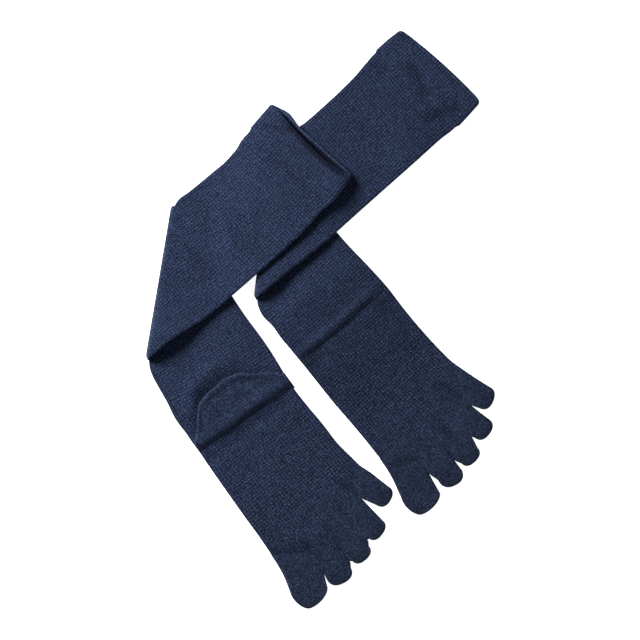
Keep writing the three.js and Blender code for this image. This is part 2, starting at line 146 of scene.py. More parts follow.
leftCreases = {
    "lower": [(52, 29, -20, -33.5, 4.4, 2.5), (56, 24, -16, -38, 2.8, -1.8),
              (58, 12, 4, -33, 8.0, 1.5), (-38, 4, -10, 18, 5.0, 0.6),
              (70, -4, 12, -46, 32.0, 4.4), (66, -136, 94, -128, 3.2, -1.4),
              (92, -110, 108, -132, 3.4, -1.3), (108, -94, 126, -112, 3.4, -1.3),
              (110, -60, 134, -74, 3.4, -1.3)],
    "upper": [(84, 236, 101, 203, 5.0, -1.6), (97, 180, 133, 195, 5.5, -1.6),
              (66, 238, 84, 214, 5.0, 0.8), (50, 234, 62, 222, 4.0, -0.9),
              (104, 204, 126, 186, 6.0, 0.8), (45, 200, 118, 156, 3.0, -0.5)],
}


def fall(d, run):
    # smooth step down from 1 at d = 0 to 0 at d = run
    t = np.clip(d / run, 0, 1)
    return 1 - t * t * (3 - 2 * t)


def throughRows(rows, t):
    # uniform Catmull-Rom curve through the rows, t from 0 at the first to 1 at the last
    p = np.array(rows, float)
    last = len(p) - 1
    place = np.clip(t, 0, 1) * last
    i = np.minimum(place.astype(int), last - 1)
    f = (place - i)[:, None]
    before = np.where((i == 0)[:, None], 2 * p[0] - p[1], p[np.maximum(i - 1, 0)])
    after = np.where((i == last - 1)[:, None], 2 * p[last] - p[last - 1], p[np.minimum(i + 2, last)])
    a, b = p[i], p[i + 1]
    return 0.5 * (2 * a + (b - before) * f + (2 * before - 5 * a + 4 * b - after) * f ** 2
                  + (3 * a - before - 3 * b + after) * f ** 3)


def crossLine(turn):
    # unit vectors (cos, sin) of cross lines turned by these degrees
    return np.stack([np.cos(np.radians(turn)), np.sin(np.radians(turn))], -1)


def rowEnd(row, side):
    # left (-1) or right (+1) end of a row's cross line
    return np.array(row[:2]) + crossLine(row[3]) * side * row[2] / 2


def leftOf(x, y, a, b):
    # distance of the points to the left of the line from a to b
    d = (b - a) / np.hypot(*(b - a))
    return d[0] * (y - a[1]) - d[1] * (x - a[0])


def ownLayer(sock, x, y):
    # one layer high over the sock's own lower leg, smooth step down beyond that leg's edge
    beside = leftOf(x, y, rowEnd(sock["lower"][-5], 1), rowEnd(sock["lower"][0], 1))
    return layer * fall(-beside, cloth["droop"])


heelRise = {
    "height": 2.9,        # how high the left foot lies on its own heel pocket
    "beyond": 5.0,        # how far the half ellipse reaches past the pocket
    "level": 0.95,        # share of that ellipse that stays level
    "run": 0.6,           # share over which it then comes down
    "footRun": 12.5,      # run over which it comes down towards the toes
}


def heelBump(x, y):
    # half ellipse on the leg's side of the pocket's base line
    hx, hy, width, turn, depth = leftSock["heel"]
    across, toLeg = crossLine(turn), crossLine(turn + 90)
    u = ((x - hx) * across[0] + (y - hy) * across[1]) / (width / 2 + heelRise["beyond"])
    v = (x - hx) * toLeg[0] + (y - hy) * toLeg[1]
    reach = np.hypot(u, np.maximum(v, 0) / (depth + heelRise["beyond"]))
    slope = fall(reach - heelRise["level"], heelRise["run"])
    return heelRise["height"] * slope * fall(-v, heelRise["footRun"])


def flatGround(x, y):
    # z = 0 everywhere
    return 0 * x


def standOff(sock, x, y):
    # bells where the folded-back leg stands off what lies beneath it
    return sum(height * np.exp(-((x - hx) ** 2 + (y - hy) ** 2) / radius ** 2)
               for hx, hy, radius, height in sock["hills"])


def leftUpperGround(x, y):
    # own lower leg and the hills
    return ownLayer(leftSock, x, y) + standOff(leftSock, x, y)


def rightUpperGround(x, y):
    # fourth root of the sum of fourth powers of the own leg's height and the other sock's: the higher one,
    # with a soft change between them
    fold, cuff = leftSock["upper"][0], leftSock["upper"][8]
    pastFold = leftOf(x, y, rowEnd(fold, -1), rowEnd(fold, 1)) - bend - cloth["tube"] / 2
    pastEdge = leftOf(x, y, rowEnd(fold, 1), rowEnd(cuff, 1))
    past = np.maximum(pastFold, pastEdge) - cloth["overhang"]
    other = (leftUpperGround(x, y) + layer + cloth["clear"]) * fall(past, 1.7 * cloth["droop"])
    return (ownLayer(rightSock, x, y) ** 4 + other ** 4) ** 0.25 + standOff(rightSock, x, y)


def creaseRelief(creases, x, y):
    # sum of soft ridges: a bell across each line, faded towards its two ends
    z = 0 * x
    for ax, ay, bx, by, half, height in creases:
        length = math.hypot(bx - ax, by - ay)
        dx, dy = (bx - ax) / length, (by - ay) / length
        along = (x - ax) * dx + (y - ay) * dy
        bow = 0.02 * length * np.sin(math.pi * np.clip(along / length, 0, 1))
        off = (y - ay) * dx - (x - ax) * dy - bow
        ends = fall(-along, 10) * fall(along - length, 10) * fall(np.abs(along / length - 0.5) - 0.3, 0.35)
        z = z + height * np.exp(-(off / half) ** 2) * ends
    return z


def paintedTroughShade(creases, x, y):
    # painted shade: the knit in the troughs alone is drawn darker, by the depth of the trough
    return cloth["troughShade"] * creaseRelief([c for c in creases if c[5] < 0], x, y)


def softWaves(x, y, seed):
    # slow unevenness of cloth that was pressed by hand, three crossing waves
    return (0.22 * np.sin(x / 13 + y / 31 + seed) + 0.2 * np.sin(y / 11 - x / 23 + 2 * seed)
            + 0.12 * np.sin((x + y) / 6.3 + 3 * seed))


def section(width, height, shares):
    # stadium of two half circles and two flats: left edge from below to above, the top to the right,
    # right edge downwards, the underside back; across (s) and upright (h) places of its columns
    steps = cloth["edgeSteps"]
    width, height = np.atleast_1d(width)[:, None], np.atleast_1d(height)[:, None]
    r = np.minimum(height / 2, width / 2)
    flat = width / 2 - r
    a = np.linspace(0, math.pi, steps + 1)[None]
    one = np.ones_like(width)
    top = flat * (2 * shares[None] - 1)
    s = np.hstack([-flat - r * np.sin(a), top, flat + r * np.sin(a), top[:, ::-1]])
    h = np.hstack([-r * np.cos(a), r * one * np.ones_like(top), r * np.cos(a), -r * one * np.ones_like(top)])
    return s, h


def webShares(sock):
    # shares of the foot's width at which its columns stand: even steps from slit to slit
    p = np.array([w[:2] for w in sock["webs"]], float)
    reach = np.concatenate([[0], np.cumsum(np.hypot(*np.diff(p, axis=0).T))])
    parts = [np.linspace(reach[i], reach[i + 1], n + 1)[1:] for i, n in enumerate(toeCut["columns"])]
    return np.concatenate(parts)[:-1] / reach[-1]


def gridFaces(rings, columns, first):
    # quads between rings, closed round the tube
    r, c = np.meshgrid(np.arange(rings - 1), np.arange(columns), indexing="ij")
    n = (c + 1) % columns
    return first + np.stack([r * columns + c, r * columns + n, (r + 1) * columns + n, (r + 1) * columns + c],
                            -1).reshape(-1, 4)


def gridUv(u, v):
    # corner coordinates for gridFaces, with one more column than the ring has
    corner = [(slice(0, -1), slice(0, -1)), (slice(0, -1), slice(1, None)),
              (slice(1, None), slice(1, None)), (slice(1, None), slice(0, -1))]
    return np.stack([np.stack([u[k], v[k]], -1) for k in corner], 2).reshape(-1, 2)


def closeRing(a):
    # repeats the first column at the end
    return np.hstack([a, a[:, :1]])


def rowsLength(rows):
    return np.hypot(*np.diff(np.array(rows)[:, :2], axis=0).T).sum()


# how far from the cuff's edge each of its forms reaches
mouthReach = {"swell": 34.0, "setBack": 26.0, "corner": 14.0, "bulge": 16.0, "bow": 30.0, "curl": 4.5}


def sockMesh(name, sock, creases, upperGround, lowerGround, seed):
    # at each station a stadium of the row's flat width lies across the middle line, on the ground function
    # there; height = ground + half the tube + section's height + swell, puff, waves and creases, on the side
    # that shows
    tube = cloth["tube"]
    shares = webShares(sock)
    steps = cloth["edgeSteps"]
    mouth = sock["mouth"]

    # stations of the folded-back leg from the cuff to the fold, of the fold, and of the lower leg and foot
    nUpper = int(rowsLength(sock["upper"]) / cloth["ringGap"])
    nLower = int(rowsLength(sock["lower"]) / cloth["ringGap"])
    nFold = cloth["foldSteps"]
    upper = throughRows(sock["upper"], 1 - np.linspace(0, 1, nUpper + 1)[:-1] ** 1.25)
    fold = np.linspace(sock["upper"][0], sock["lower"][0], nFold + 1)
    lower = throughRows(sock["lower"], np.linspace(0, 1, nLower + 1)[1:])
    station = np.vstack([upper, fold, lower])
    x, y, width, turn = station.T
    across = crossLine(turn)
    s, h = section(width, np.full(len(width), tube), shares)
    px = x[:, None] + across[:, :1] * s
    py = y[:, None] + across[:, 1:] * s
    z = np.zeros_like(px)
    edge = 1 - (2 * s / width[:, None]) ** 2
    atEnd = np.abs(2 * s / width[:, None])
    face = 2 * h / tube

    # upper part: what was on top faces the floor; the mouth's visible panel swells and stands back
    k = slice(0, nUpper)
    back = np.hypot(x[k] - x[0], y[k] - y[0])[:, None]
    visible = np.clip(-face[k], 0, 1)
    welt = fall(back - cloth["welt"], 4)
    step = np.where(s[k] > 0, mouth["step"][1], -mouth["step"][0]) * welt * atEnd[k] ** 6
    px[k] += across[k, :1] * step
    py[k] += across[k, 1:] * step
    swell = mouth["open"] * np.clip(1 - back / mouthReach["swell"], 0, 1) ** 1.5 * edge[k] ** 0.6
    weltEnd = np.exp(-((back - cloth["welt"] - 4) / 2.2) ** 2)
    swell = swell + (0.45 * welt - 0.5 * weltEnd) * np.clip(6 * edge[k], 0, 1)
    puff = 0.5 * edge[k] + softWaves(px[k], py[k], seed) * np.clip(3 * edge[k], 0, 1)
    relief = creaseRelief(creases["upper"], px[k], py[k])
    z[k] = upperGround(px[k], py[k]) + tube / 2 - h[k] + visible * (swell + puff + relief)
    toLeg = crossLine(turn[0] + 90)
    share = np.clip((1 - 2 * s[k] / width[k, None]) / 2, 0, 1)
    stand = mouth["setBack"] * np.sin(math.pi * (1 - share) ** mouth["skew"]) * visible
    stand = stand * fall(back, mouthReach["setBack"])
    rounded = 1 - np.sqrt(np.maximum(1 - atEnd[k] ** 26, 0))
    cut = mouth["corner"] * rounded * fall(back, mouthReach["corner"])
    bulge = mouth["bulge"] * np.exp(-((share - 0.17) / 0.1) ** 2) * (1 - visible)
    bulge = bulge * fall(back, mouthReach["bulge"])
    shift = stand + cut - bulge - mouth["bow"] * edge[k] * fall(back, mouthReach["bow"])
    px[k] += toLeg[0] * shift
    py[k] += toLeg[1] * shift
    beneath = (1 - visible) * np.clip(2.5 * edge[k], 0, 1)
    z[k] += mouth["curl"] * fall(back, mouthReach["curl"]) * beneath

    # painted light and shade at the cuff: highlight on the rim, shade in the hollow behind it, shadow under
    # the near panel's lip
    paintedShading = np.zeros_like(z)
    rimWide = 0.8 + 3.4 * (1 - share) ** 2
    # painted highlight on the far panel's rim, then painted shade in the hollow behind it
    paintedShading[k] = (mouth["rim"] - mouth["inside"]) * fall(back - rimWide, 1.4) * beneath
    paintedShading[k] += mouth["inside"] * fall(back - 12, 8) * beneath
    lipShare = 1 - fall(share - 0.06, 0.24)
    # painted shadow under the near panel's lip, and a darker line behind it
    paintedShading[k] += mouth["lip"] * fall(back, 8) * visible * np.clip(2 * edge[k], 0, 1) * lipShare
    paintedShading[k] += mouth["line"] * np.exp(-((back - 4) / 1.3) ** 2) * visible
    # painted shade in the troughs of the folded-back leg
    paintedShading[k] += paintedTroughShade(creases["upper"], px[k], py[k]) * visible

    # half turn of the fold about an axis inside the two layers
    k = slice(nUpper, nUpper + nFold + 1)
    angle = np.linspace(math.pi, 0, nFold + 1)[:, None]
    out = crossLine(sock["lower"][0][3] + 90)
    reach = bend - h[k]
    tuck = np.sqrt(np.maximum(1 - atEnd[k] ** 60, 0))
    px[k] += out[0] * reach * np.sin(angle) * tuck
    py[k] += out[1] * reach * np.sin(angle) * tuck
    z[k] = tube / 2 + bend - reach * np.cos(angle) + standOff(sock, px[k], py[k]) * (1 - np.cos(angle)) / 2

    # lower leg and foot
    k = slice(nUpper + nFold + 1, None)
    along = np.linspace(0, 1, nLower + 1)[1:, None]
    visible = np.clip(face[k], 0, 1)
    ease = fall(0.06 - along, 0.06) * fall(along - 0.9, 0.1)
    puff = 0.5 * edge[k] * ease + softWaves(px[k], py[k], seed) * np.clip(3 * edge[k], 0, 1) * ease
    relief = creaseRelief(creases["lower"], px[k], py[k]) * np.clip(4 * edge[k] + 0.3, 0, 1)
    z[k] = lowerGround(px[k], py[k]) + tube / 2 + h[k] + visible * (puff + relief)

    # painted shade in the hollow round the heel pocket's rim
    hx, hy, heelWidth, heelTurn, _ = sock["heel"]
    heelAcross, heelUp = crossLine(heelTurn), crossLine(heelTurn + 90)
    heelU = ((px[k] - hx) * heelAcross[0] + (py[k] - hy) * heelAcross[1]) / heelWidth * 2
    heelV = (px[k] - hx) * heelUp[0] + (py[k] - hy) * heelUp[1]
    rimU, rimReach = np.array(sock["rim"], float).T
    off = heelV - np.interp(heelU, rimU, rimReach)
    near = np.where(off > 0, np.exp(-(off / 6.0) ** 2), np.exp(-(off / 2.0) ** 2))
    paintedShading[k] = -sock["hollow"] * near * visible * fall(heelU - 0.1, 0.7) * fall(-heelU - 0.8, 0.3)
    # painted shade across the middle of the foot
    paintedShading[k] -= sock["shade"] * visible * fall(np.abs(along - 0.66) - 0.1, 0.22)
    # painted shade in the troughs of the lower leg and foot
    paintedShading[k] += paintedTroughShade(creases["lower"], px[k], py[k]) * visible

    # pattern: u counts wales round the tube, v counts courses from the cuff, square to the leg
    centre = np.stack([x, y], -1)
    stepAlong = np.diff(centre, axis=0)
    gap = np.hypot(*stepAlong.T)
    heading = np.zeros_like(centre)
    heading[:-1] = stepAlong
    heading[-1] = stepAlong[-1]
    heading[nUpper - 1:nUpper + 1] = heading[nUpper - 2]
    heading[nUpper + 1:nUpper + nFold + 1] = heading[nUpper + nFold + 2]
    kernel = np.ones(15) / 15
    heading /= np.hypot(*heading.T)[:, None]
    travel = np.concatenate([[0], np.cumsum(gap)])
    travel[nUpper:] += np.clip((np.arange(len(travel) - nUpper)) / nFold, 0, 1) * math.pi * bend
    slant = (across * heading).sum(1)
    slant[:nUpper] = np.convolve(np.pad(slant[:nUpper], 7, mode="edge"), kernel, "valid")
    slant[nUpper + nFold:] = np.convolve(np.pad(slant[nUpper + nFold:], 7, mode="edge"), kernel, "valid")
    slant[nUpper:nUpper + nFold] = np.linspace(slant[nUpper - 1], slant[nUpper + nFold], nFold)
    share = 2 * s / width[:, None]
    columns = s.shape[1]
    onTop = np.arange(columns)[None] < steps + len(shares) + 1 + steps / 2
    u = np.where(onTop, (1 + share) / 2, 1.5 - share / 2) * cloth["wales"]
    u[:, :steps // 2] = 2 * cloth["wales"] - (1 + share[:, :steps // 2]) / 2 * cloth["wales"]
    uClosed = closeRing(u)
    uClosed[:, :steps // 2] -= 2 * cloth["wales"]
    uClosed[:, -1] = u[:, 0]
    v = (travel[:, None] + s * slant[:, None]) / cloth["course"]
    vClosed = closeRing(v)

    # roots of the toes: the last rings bend forward to the start of each slit
    starts = np.array([w[:2] for w in sock["webs"]], float)
    parts = [np.linspace(starts[i], starts[i + 1], n + 1)[:-1] for i, n in enumerate(toeCut["columns"])]
    line = np.vstack(parts + [starts[-1:]])
    cross = (starts[-1] - starts[0]) / np.hypot(*(starts[-1] - starts[0]))
    a = np.linspace(0, math.pi, steps + 1)
    r = tube / 2

    def rootZ(x, y, height):
        creased = np.clip(height / r, 0, 1) * creaseRelief(creases["lower"], x, y)
        return lowerGround(x, y) + r + height + creased

    leftEdge = line[:1] + cross * (r - r * np.sin(a)[:, None])
    rightEdge = line[-1:] + cross * (r * np.sin(a)[:, None] - r)
    inner = line[1:-1]
    webPlan = np.vstack([leftEdge, inner, rightEdge, inner[::-1]])
    webH = np.concatenate([-r * np.cos(a), np.full(len(inner), r), r * np.cos(a), np.full(len(inner), -r)])
    f = np.linspace(0, 1, cloth["rootSteps"] + 1)[1:, None]
    rootX = px[-1] + (webPlan[:, 0] - px[-1]) * f
    rootY = py[-1] + (webPlan[:, 1] - py[-1]) * f
    rootH = h[-1] + (webH - h[-1]) * f
    webStep = np.hypot(webPlan[:, 0] - px[-1], webPlan[:, 1] - py[-1]) / cloth["course"]
    px, py, z = np.vstack([px, rootX]), np.vstack([py, rootY]), np.vstack([z, rootZ(rootX, rootY, rootH)])
    uClosed = np.vstack([uClosed, np.repeat(uClosed[-1:], len(f), 0)])
    vClosed = np.vstack([vClosed, vClosed[-1:] + closeRing(webStep[None]) * f])

    points = [np.stack([px, py, z], -1).reshape(-1, 3)]
    faces = [gridFaces(len(px), columns, 0)]
    uvs = [gridUv(uClosed, vClosed)]
    plain = [np.zeros(px.size)]
    # painted shade in the troughs at the roots of the toes
    rootTroughShade = paintedTroughShade(creases["lower"], rootX, rootY) * np.clip(rootH / r, 0, 1)
    paintedShading = [np.vstack([paintedShading, rootTroughShade]).ravel()]
    plain[0][-columns * len(f):] = np.repeat(0.6 * f, columns)
    first = px.size

    # toes: sides run from the slit's start through its mouth to the widest line, then round the end
    column = 0
    nTube, nEnd = toeCut["rings"], toeCut["endRings"]
    for toe, count in enumerate(toeCut["columns"]):
        run = line[column:column + count + 1]
        tipL, tipR = np.array(sock["toes"][toe][:2]), np.array(sock["toes"][toe][2:4])
        end = sock["toes"][toe][4]
        webL, webR = sock["webs"][toe], sock["webs"][toe + 1]
        t = np.linspace(0, 1, nTube + 1)[1:]
        sideL = throughRows([webL[:2], webL[2:], tipL], t)
        sideR = throughRows([webR[:2], webR[2:], tipR], t)
        overlap = toeCut["overlap"] * fall(t - 0.45, 0.3)
        direction = (sideR - sideL) / np.hypot(*(sideR - sideL).T)[:, None]
        sideL = sideL - direction * overlap[:, None]
        sideR = sideR + direction * overlap[:, None]
        span = tipR - tipL
        forward = np.array([span[1], -span[0]]) / np.hypot(*span)
        e = np.sin(np.linspace(0, math.pi / 2, nEnd + 1)[1:])
        power = toeCut["power"][toe]
        shrink = np.maximum(1 - e ** power, 0) ** (1 / power)
        lean = span / np.hypot(*span) * toeCut["lean"][toe]
        middle = (tipL + tipR) / 2 + forward * (end * e)[:, None] - lean * e[:, None] ** 2
        endL = middle - span / 2 * shrink[:, None]
        endR = middle + span / 2 * shrink[:, None]
        L, R = np.vstack([sideL, endL]), np.vstack([sideR, endR])
        w = np.maximum(np.hypot(*(R - L).T), 0.02)
        c = (L + R) / 2
        d = (R - L) / np.maximum(np.hypot(*(R - L).T), 1e-6)[:, None]
        d[nTube:] = span / np.hypot(*span)
        lengthwise = np.linspace(0, 1, nTube + nEnd + 1)[1:]
        swollen = tube + toeCut["swell"] * np.sin(math.pi * np.clip(lengthwise, 0, 1) ** 0.8)
        swollen[nTube:] *= np.maximum(shrink, 0.12) ** 0.55
        lane = np.arange(1, count) / count
        ts, th = section(w, swollen, lane)
        roundTop = 1 - (2 * ts / w[:, None]) ** 2
        tx = c[:, :1] + d[:, :1] * ts
        ty = c[:, 1:] + d[:, 1:] * ts
        arch = 0.5 * roundTop * np.sin(math.pi * lengthwise)[:, None]
        lift = np.clip(th / (swollen[:, None] / 2), 0, 1) * arch
        tz = swollen[:, None] / 2 + th + lift
        tz += np.clip(th, 0, 1) * creaseRelief(creases["lower"], tx, ty)

        # its first ring is the root's line, upright at the slits and round at the foot's two edges
        rootL = leftEdge if toe == 0 else np.repeat(run[:1], steps + 1, 0)
        rootR = rightEdge if toe == 4 else np.repeat(run[-1:], steps + 1, 0)
        mid = run[1:-1]
        rootPlan = np.vstack([rootL, mid, rootR, mid[::-1]])
        rootH = np.concatenate([-r * np.cos(a), np.full(len(mid), r), r * np.cos(a), np.full(len(mid), -r)])
        tx = np.vstack([rootPlan[:, 0], tx])
        ty = np.vstack([rootPlan[:, 1], ty])
        tz = np.vstack([rootZ(rootPlan[:, 0], rootPlan[:, 1], rootH), tz])

        # the foot's wales run on over each toe's top and underside
        n = tx.shape[1]
        uTop = np.linspace(column, column + count, count + 1) / sum(toeCut["columns"]) * cloth["wales"]
        edgeL, edgeR = np.full(steps + 1, uTop[0]), np.full(steps + 1, uTop[-1])
        uToe = np.concatenate([edgeL + np.linspace(-1, 0, steps + 1), uTop[1:-1],
                               edgeR + np.linspace(0, 1, steps + 1), 2 * uTop[-1] - uTop[1:-1][::-1] + 1,
                               [2 * uTop[-1] - uTop[0] + 1]])
        runs = np.concatenate([[0], np.cumsum(np.hypot(*np.diff(np.vstack([run.mean(0), c]), axis=0).T))])
        vBase = vClosed[-1].mean()
        points.append(np.stack([tx, ty, tz], -1).reshape(-1, 3))
        faces.append(gridFaces(len(tx), n, first))
        uvs.append(gridUv(np.repeat(uToe[None], len(tx), 0),
                          np.repeat((vBase + runs / cloth["course"])[:, None], n + 1, 1)))
        toePlain = np.repeat(np.clip(0.6 + runs / 8, 0, 1)[:, None], n, 1)
        plain.append(toePlain.ravel())
        # painted shade in the troughs on the toes
        toeTroughShade = paintedTroughShade(creases["lower"], tx, ty)
        toeTroughShade[0] *= np.clip(rootH / r, 0, 1)
        toeTroughShade[1:] *= np.clip(th, 0, 1)
        paintedShading.append(toeTroughShade.ravel())
        first += tx.size
        column += count

    shades = {"plain": np.concatenate(plain), "paintedShading": np.concatenate(paintedShading)}
    return fillMesh(name, np.vstack(points), np.vstack(faces), np.vstack(uvs), shades)


def fillMesh(name, points, faces, uvs, shades):
    # sizes become metres; doubles at the slits and toe tips are merged
    mesh = bpy.data.meshes.new(name)
    mesh.vertices.add(len(points))
    mesh.vertices.foreach_set("co", (points * 0.001).astype(np.float32).ravel())
    mesh.loops.add(faces.size)
    mesh.loops.foreach_set("vertex_index", faces.astype(np.int32).ravel())
    mesh.polygons.add(len(faces))
    mesh.polygons.foreach_set("loop_start", np.arange(0, faces.size, 4, dtype=np.int32))
    mesh.update(calc_edges=True)
    layerUv = mesh.uv_layers.new(name="stitches")
    layerUv.data.foreach_set("uv", uvs.astype(np.float32).ravel())
    for key, values in shades.items():
        attribute = mesh.attributes.new(key, "FLOAT", "POINT")
        attribute.data.foreach_set("value", values.astype(np.float32))
    work = bmesh.new()
    work.from_mesh(mesh)
    bmesh.ops.remove_doubles(work, verts=work.verts, dist=2e-6)
    bmesh.ops.dissolve_degenerate(work, edges=work.edges, dist=1e-7)
    bmesh.ops.recalc_face_normals(work, faces=work.faces)
    if work.calc_volume(signed=True) < 0:
        bmesh.ops.reverse_faces(work, faces=work.faces)
    work.to_mesh(mesh)
    work.free()
    mesh.polygons.foreach_set("use_smooth", np.ones(len(mesh.polygons), bool))
    mesh.update()
    piece = bpy.data.objects.new(name, mesh)
    bpy.context.collection.objects.link(piece)
    return piece


pocketCut = {
    "sections": 72,       # sections side by side along the base
    "topSteps": 26,       # steps from the base to the rim
    "rimSteps": 8,
    "thick": 2.7,         # its two walls, pressed
    "tuckIn": 6.0,        # how far it runs into the foot at the base
    "rise": (4.2, 9.0),   # where its top has come up from the valley at the base, and over what run
    "roll": (1.5, 2.8),   # height and half width of the rolled rim
    "ridge": (1.35, 7.0, 5.0),   # height, place and half width of the ridge above the base
    "wale": 1.7,          # its plain knit
    "course": 2.3,
}


def pocketMesh(name, sock, datum, lifted):
    # section (v, z) from the base line to the rim: descends into the foot at the base, ends in a half-round
    # rim; z = thickness * smooth rise + bell of the rolled rim + bell of the ridge, over its own reach
    hx, hy, width, turn, depth = sock["heel"]
    across, toLeg = crossLine(turn), crossLine(turn + 90)
    nAcross, nTop, nRim = pocketCut["sections"], pocketCut["topSteps"], pocketCut["rimSteps"]
    u, reach = throughRows(sock["rim"], np.linspace(0, 1, nAcross + 1)).T[:, :, None]
    outline = np.clip(reach / depth, 0, 1)
    thick = pocketCut["thick"] * np.clip(0.5 + outline, 0.4, 1)
    r = thick / 2
    b = np.linspace(0, 1, nTop)[None]
    start = -pocketCut["tuckIn"] * (0.4 + 0.6 * outline)
    v = start + (reach - r - start) * b
    if lifted:
        risen, riseRun = pocketCut["rise"]
        rollHigh, rollHalf = pocketCut["roll"]
        ridgeHigh, ridgeAt, ridgeHalf = pocketCut["ridge"]
        rise = fall(risen + 0.7 * np.sin(6 * u + 1) - v, riseRun)
        roll = rollHigh * np.exp(-((reach - r - v) / rollHalf) ** 2) * outline ** 0.5
        ridge = ridgeHigh * (1 + 0.25 * np.sin(5 * u)) * np.exp(-((v - ridgeAt) / ridgeHalf) ** 2)
        arch = 0.3 * np.sin(math.pi * b) * outline * rise
        top = -0.5 + (cloth["clear"] + thick + 0.5) * rise + arch + roll + ridge * outline ** 0.3
        under = -1.0 + (cloth["clear"] + 1.0) * fall(3.0 - v, 4.0)
    else:
        top = thick + 0.9 * fall(v + 2, 6.0) * fall(-v - 4, 3)
        under = 0 * v
    a = np.linspace(math.pi / 2, -math.pi / 2, nRim + 1)[None, 1:-1]
    centre = (top[:, -1:] + under[:, -1:]) / 2
    radius = (top[:, -1:] - under[:, -1:]) / 2
    vLoop = np.hstack([v, v[:, -1:] + radius * np.cos(a), v[:, ::-1]])
    zLoop = np.hstack([top, centre + radius * np.sin(a), under[:, ::-1]])
    # loose, slightly drawn rim
    pull = 0.6 * np.sin(7 * u + 1) + 0.4 * np.sin(15 * u)
    vLoop = vLoop + pull * np.clip(vLoop / np.maximum(reach, 1), 0, 1) * outline
    side = u * width / 2
    px = hx + across[0] * side + toLeg[0] * vLoop
    py = hy + across[1] * side + toLeg[1] * vLoop
    z = datum + zLoop
    z[:, :nTop] += creaseRelief(sock["dimples"], px[:, :nTop], py[:, :nTop])
    n = px.shape[1]
    ringStep = np.hypot(np.diff(closeRing(vLoop), axis=1), np.diff(closeRing(zLoop), axis=1))
    turnUv = np.hstack([np.zeros((len(px), 1)), np.cumsum(ringStep, 1)]) / pocketCut["course"]
    sideUv = np.repeat(side / pocketCut["wale"], n + 1, 1)
    points = np.stack([px, py, z], -1).reshape(-1, 3)
    faces = gridFaces(len(px), n, 0)
    uvs = gridUv(turnUv, sideUv)
    # the two ends close along the middle of the section
    ends = []
    for ring in (0, len(px) - 1):
        i = np.arange(n // 2 - 1)
        quad = ring * n + np.stack([i, i + 1, n - 2 - i, n - 1 - i], -1)
        ends.append(quad)
    faces = np.vstack([faces] + ends)
    uvs = np.vstack([uvs, np.zeros((4 * sum(len(e) for e in ends), 2))])
    # painted light and shade: highlight along the rim, shade in the groove inside it and in the valley at the
    # base
    rimLightAndShade = (0.14 * np.exp(-((vLoop - reach + 1.8) / 1.6) ** 2)
            - 0.12 * np.exp(-((vLoop - reach + 5.5) / 1.8) ** 2)
            - 0.2 * fall(vLoop - 1, 5)) * (zLoop > 0)
    rimLightAndShade = rimLightAndShade * (0.4 + 0.6 * fall(u - 0.2, 0.5))
    return fillMesh(name, points, faces, uvs, {"plain": np.ones(len(points)), "paintedShading": rimLightAndShade.ravel()})


class Wire:
    # an output socket; sums and products of wires add Math nodes
    def __init__(self, tree, socket):
        self.tree = tree
        self.socket = socket

    def add(self, kind, settings=None, inputs=None, output=0):
        return addNode(self.tree, kind, settings, inputs, output)

    def maths(self, operation, *values):
        return self.add("ShaderNodeMath", {"operation": operation}, dict(enumerate(values)))

    def __add__(self, other):
        return self.maths("ADD", self, other)

    def __radd__(self, other):
        return self.maths("ADD", other, self)

    def __sub__(self, other):
        return self.maths("SUBTRACT", self, other)

    def __rsub__(self, other):
        return self.maths("SUBTRACT", other, self)

    def __mul__(self, other):
        return self.maths("MULTIPLY", self, other)

    def __rmul__(self, other):
        return self.maths("MULTIPLY", other, self)

    def cosine(self):
        return self.maths("COSINE", self)

    def size(self):
        return self.maths("ABSOLUTE", self)


def addNode(tree, kind, settings=None, inputs=None, output=0):
    node = tree.nodes.new(kind)
    for key, value in (settings or {}).items():
        if key == "stops":
            for i, (place, color) in enumerate(value):
                stop = node.color_ramp.elements[i] if i < 2 else node.color_ramp.elements.new(place)
                stop.position, stop.color = place, color
        else:
            setattr(node, key, value)
    for key, value in (inputs or {}).items():
        if isinstance(value, Wire):
            tree.links.new(value.socket, node.inputs[key])
        else:
            node.inputs[key].default_value = value
    return Wire(tree, node.outputs[output]) if len(node.outputs) else None


yarn = {
    "deep": (0.0016, 0.0029, 0.010, 1),      # painted shade between the stitches
    "mid": (0.0105, 0.0184, 0.0482, 1),
    "high": (0.0395, 0.0605, 0.123, 1),      # where a stitch catches the light
    "bump": 0.0009,       # depth of a stitch in metres
    "roughness": 0.92,
    "sheen": 0.04,
    "wander": (2.8, 2.8, 0),                 # how far the stitches stray, in wales and courses
    "coarseFoot": 1.45,   # the foot's knit against the leg's
    "coarseFrom": (250.0, 295.0),            # courses over which it gets coarser
}


